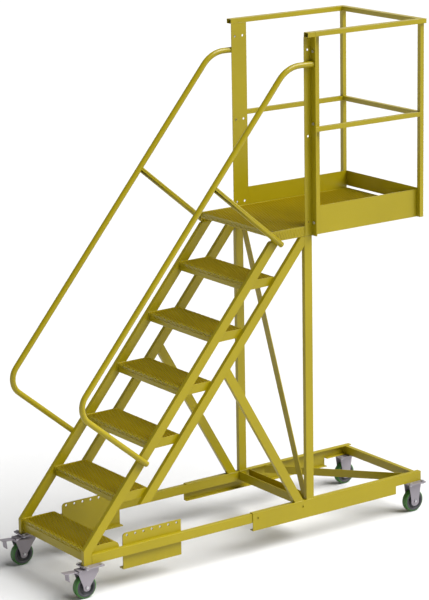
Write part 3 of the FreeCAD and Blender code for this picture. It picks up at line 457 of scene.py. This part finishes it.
# ---- Guard --------------------------------------------------------------------------------------
# Two folded angle posts a side, bolted flange to flange, carry a rectangular top rail and a square
# middle rail that run round the platform; two square posts stand at its back corners.
for name in ("handrail_post_r", "handrail_post_l", "guard_post_r", "guard_post_l", "top_rail",
             "rear_guard_post_r", "rear_guard_post_l"):
    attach(soft_edges(name, "guard_" + name, 0.0008), "stand")
back_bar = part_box("rear_guard_post_r")[0][1]
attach(soft_edges("mid_rails", "guard_mid_rails", 0.0008, part_y=back_bar), "stand")

# ---- Hand rails ---------------------------------------------------------------------------------
# Round steel tube bent twice, welded to the outside of the front stringer at its foot, by a strut
# half way up, and to the post flange at the top. The open ends are closed with flat caps.
for name in ("handrail_r", "handrail_l", "handrail_struts"):
    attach(soft_edges(name, "round_" + name, 0), "stand")

rail_radius = 0.0159
leg_way = Vector((0, math.sin(climb), -math.cos(climb)))
caps = []
for name, sign in (("handrail_r", 1), ("handrail_l", -1), ("handrail_struts", 1),
                   ("handrail_struts", -1)):
    rim = [vert.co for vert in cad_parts[name].data.vertices if vert.co.x * sign > 0]
    lowest = min(rim, key=lambda spot: spot.z)
    middle_x = (min(spot.x for spot in rim) + max(spot.x for spot in rim)) / 2
    foot = Vector((middle_x, lowest.y + rail_radius * math.cos(climb),
                   lowest.z + rail_radius * math.sin(climb)))
    bpy.ops.object.select_all(action="DESELECT")
    bpy.ops.mesh.primitive_cylinder_add(vertices=40, radius=rail_radius, depth=sheet,
                                        location=foot,
                                        rotation=leg_way.to_track_quat("Z", "Y").to_euler())
    cap = bpy.context.active_object
    crease = cap.modifiers.new("crease", "BEVEL")
    crease.width = 0.0008
    crease.segments = 2
    apply_modifiers(cap)
    bpy.ops.object.shade_smooth_by_angle(angle=math.radians(30))
    cap.data.materials.append(powder_coat)
    caps.append(cap)
end_caps = join("rail_end_caps", caps)
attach(end_caps, "stand")

# ---- Casters ------------------------------------------------------------------------------------
# Bolt-on casters of pressed, zinc plated steel: swivelling with a foot brake in front, fixed at
# the back. Each wheel is a green polyurethane tread moulded on a dark core, on a steel axle bolt.
zinc_plate = coat_material("zinc_plate", colour=(0.30, 0.275, 0.305), rough=0.42,
                           peel=240.0, peel_depth=0.00008, patch=0.12, metal=0.55)
bright_zinc = coat_material("bright_zinc", colour=(0.52, 0.52, 0.54), rough=0.30,
                            peel=300.0, peel_depth=0.00005, patch=0.08, metal=0.9)
green_tread = coat_material("green_polyurethane", colour=(0.030, 0.125, 0.016), rough=0.45,
                            peel=90.0, peel_depth=0.0002, patch=0.10)
dark_core = coat_material("dark_core", colour=(0.035, 0.036, 0.040), rough=0.50,
                          peel=160.0, peel_depth=0.0002, patch=0.10)

rim_radius = 0.0500
rim_roll = 0.0060
rim_flat = 0.3
rim_out = 0.0183


def rim_ring(centre, way):
    """The flat lip of the wheel core that holds the tread, on one face of the wheel."""
    bpy.ops.object.select_all(action="DESELECT")
    bpy.ops.mesh.primitive_torus_add(major_radius=rim_radius, minor_radius=rim_roll,
                                     major_segments=56, minor_segments=10,
                                     location=(0, 0, 0), rotation=(0, math.pi / 2, 0))
    ring = bpy.context.active_object
    only(ring)
    bpy.ops.object.transform_apply(location=True, rotation=True, scale=True)
    bpy.ops.object.mode_set(mode="EDIT")
    bpy.ops.mesh.select_all(action="SELECT")
    bpy.ops.transform.resize(value=(rim_flat, 1, 1), center_override=(0, 0, 0))
    bpy.ops.transform.translate(value=(centre[0] + way * rim_out, centre[1], centre[2]))
    bpy.ops.object.mode_set(mode="OBJECT")
    bpy.ops.object.shade_smooth_by_angle(angle=math.radians(60))
    ring.data.materials.append(dark_core)
    return ring


pads = soft_edges("caster_pads", "bolting_pads", 0.0007, mat=zinc_plate)
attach(pads, "stand")
for side in "_r", "_l":
    plate = soft_edges("front_caster_plate" + side, "swivel_plate" + side, 0.0007,
                       mat=zinc_plate)
    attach(plate, "stand")
    fork = soft_edges("front_fork" + side, "swivel_fork" + side, 0.0009,
                      mat=zinc_plate)
    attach(fork, "front_fork" + side)
    pedal = soft_edges("brake_pedal" + side, "foot_brake" + side, 0.0008,
                       mat=zinc_plate)
    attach(pedal, "brake_pedal" + side)
    back_fork = soft_edges("rear_fork" + side, "fixed_fork" + side, 0.0009,
                           mat=zinc_plate)
    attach(back_fork, "stand")
    for end, fork_body in (("front", "front_fork" + side), ("rear", "stand")):
        wheel_body = end + "_wheel" + side
        tyre = soft_edges("tyre_%s%s" % (end, side), "wheel_tread_%s%s" % (end, side), 0.0018,
                          mat=green_tread, angle=30)
        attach(tyre, wheel_body)
        core = soft_edges("wheel_core_%s%s" % (end, side), "wheel_hub_%s%s" % (end, side), 0.0007,
                          mat=dark_core, angle=30)
        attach(core, wheel_body)
        low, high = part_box("tyre_%s%s" % (end, side))
        centre = [(a + b) / 2 for a, b in zip(low, high)]
        rims = [rim_ring(centre, 1), rim_ring(centre, -1)]
        rim = join("wheel_rim_%s%s" % (end, side), rims)
        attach(rim, wheel_body)
        axle = soft_edges("axle_%s%s" % (end, side), "axle_bolt_%s%s" % (end, side), 0.0006,
                          mat=bright_zinc, angle=30)
        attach(axle, fork_body)

# ---- Bolts --------------------------------------------------------------------------------------
# Plated hexagon bolts hold the casters to their pads and the two posts of each side together.
bolts = soft_edges("frame_bolts", "hex_bolts", 0.0005, mat=bright_zinc)
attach(bolts, "stand")

# ---- Floor, light and camera --------------------------------------------------------------------
# A wide pale paper floor that runs up to a bright horizon, and one broad soft key light high on
# the object's right and behind it.
bpy.ops.object.select_all(action="DESELECT")
bpy.ops.mesh.primitive_plane_add(size=200, location=(0, 0, -0.0005))
floor = bpy.context.active_object
floor.name = "studio_floor"
paper = bpy.data.materials.new("paper")
paper.use_nodes = True
paper.node_tree.nodes["Principled BSDF"].inputs["Base Color"].default_value = (0.66, 0.66, 0.66, 1)
paper.node_tree.nodes["Principled BSDF"].inputs["Roughness"].default_value = 0.9
paper.node_tree.nodes["Principled BSDF"].inputs["Specular IOR Level"].default_value = 0.1
floor.data.materials.append(paper)

world = bpy.data.worlds.new("studio")
bpy.context.scene.world = world
world.use_nodes = True
sky = world.node_tree
direction = sky.nodes.new("ShaderNodeTexCoord")
split = sky.nodes.new("ShaderNodeSeparateXYZ")
sky.links.new(direction.outputs["Generated"], split.inputs["Vector"])
fade = sky.nodes.new("ShaderNodeValToRGB")
fade.color_ramp.elements[0].position = 0.10
fade.color_ramp.elements[0].color = (1, 1, 1, 1)
fade.color_ramp.elements[1].position = 0.32
fade.color_ramp.elements[1].color = (0.14, 0.14, 0.14, 1)
sky.links.new(split.outputs["Z"], fade.inputs["Fac"])
sky.links.new(fade.outputs["Color"], sky.nodes["Background"].inputs["Color"])
sky.nodes["Background"].inputs["Strength"].default_value = 1.0
bpy.context.scene.view_settings.view_transform = "Standard"

bpy.ops.object.select_all(action="DESELECT")
bpy.ops.object.light_add(type="SUN", location=(4, 5, 8))
key = bpy.context.active_object
key.name = "key"
key.data.energy = 5.9
key.data.angle = math.radians(50)
key_from = Vector((0.38, 0.50, 0.78))
key.rotation_euler = key_from.to_track_quat("Z", "Y").to_euler()

azimuth = math.radians(54.883)
elevation = math.radians(14.438)
roll = math.radians(-1.014)
distance = 13.4535
back = Vector((math.sin(azimuth) * math.cos(elevation), -math.cos(azimuth) * math.cos(elevation),
               math.sin(elevation)))
right = Vector((math.cos(azimuth), math.sin(azimuth), 0))
aim_height = 1.37351
aim_aside = 0.00795
target = Vector((0, 0, aim_height)) + right * aim_aside
bpy.ops.object.camera_add(location=target + back * distance)
camera = bpy.context.active_object
camera.rotation_euler = back.to_track_quat("Z", "Y").to_euler()
camera.rotation_euler.rotate_axis("Z", roll)
camera.data.sensor_fit = "VERTICAL"
camera.data.sensor_height = 36
camera.data.lens = 147.953
camera.data.clip_end = 300
bpy.context.scene.camera = camera
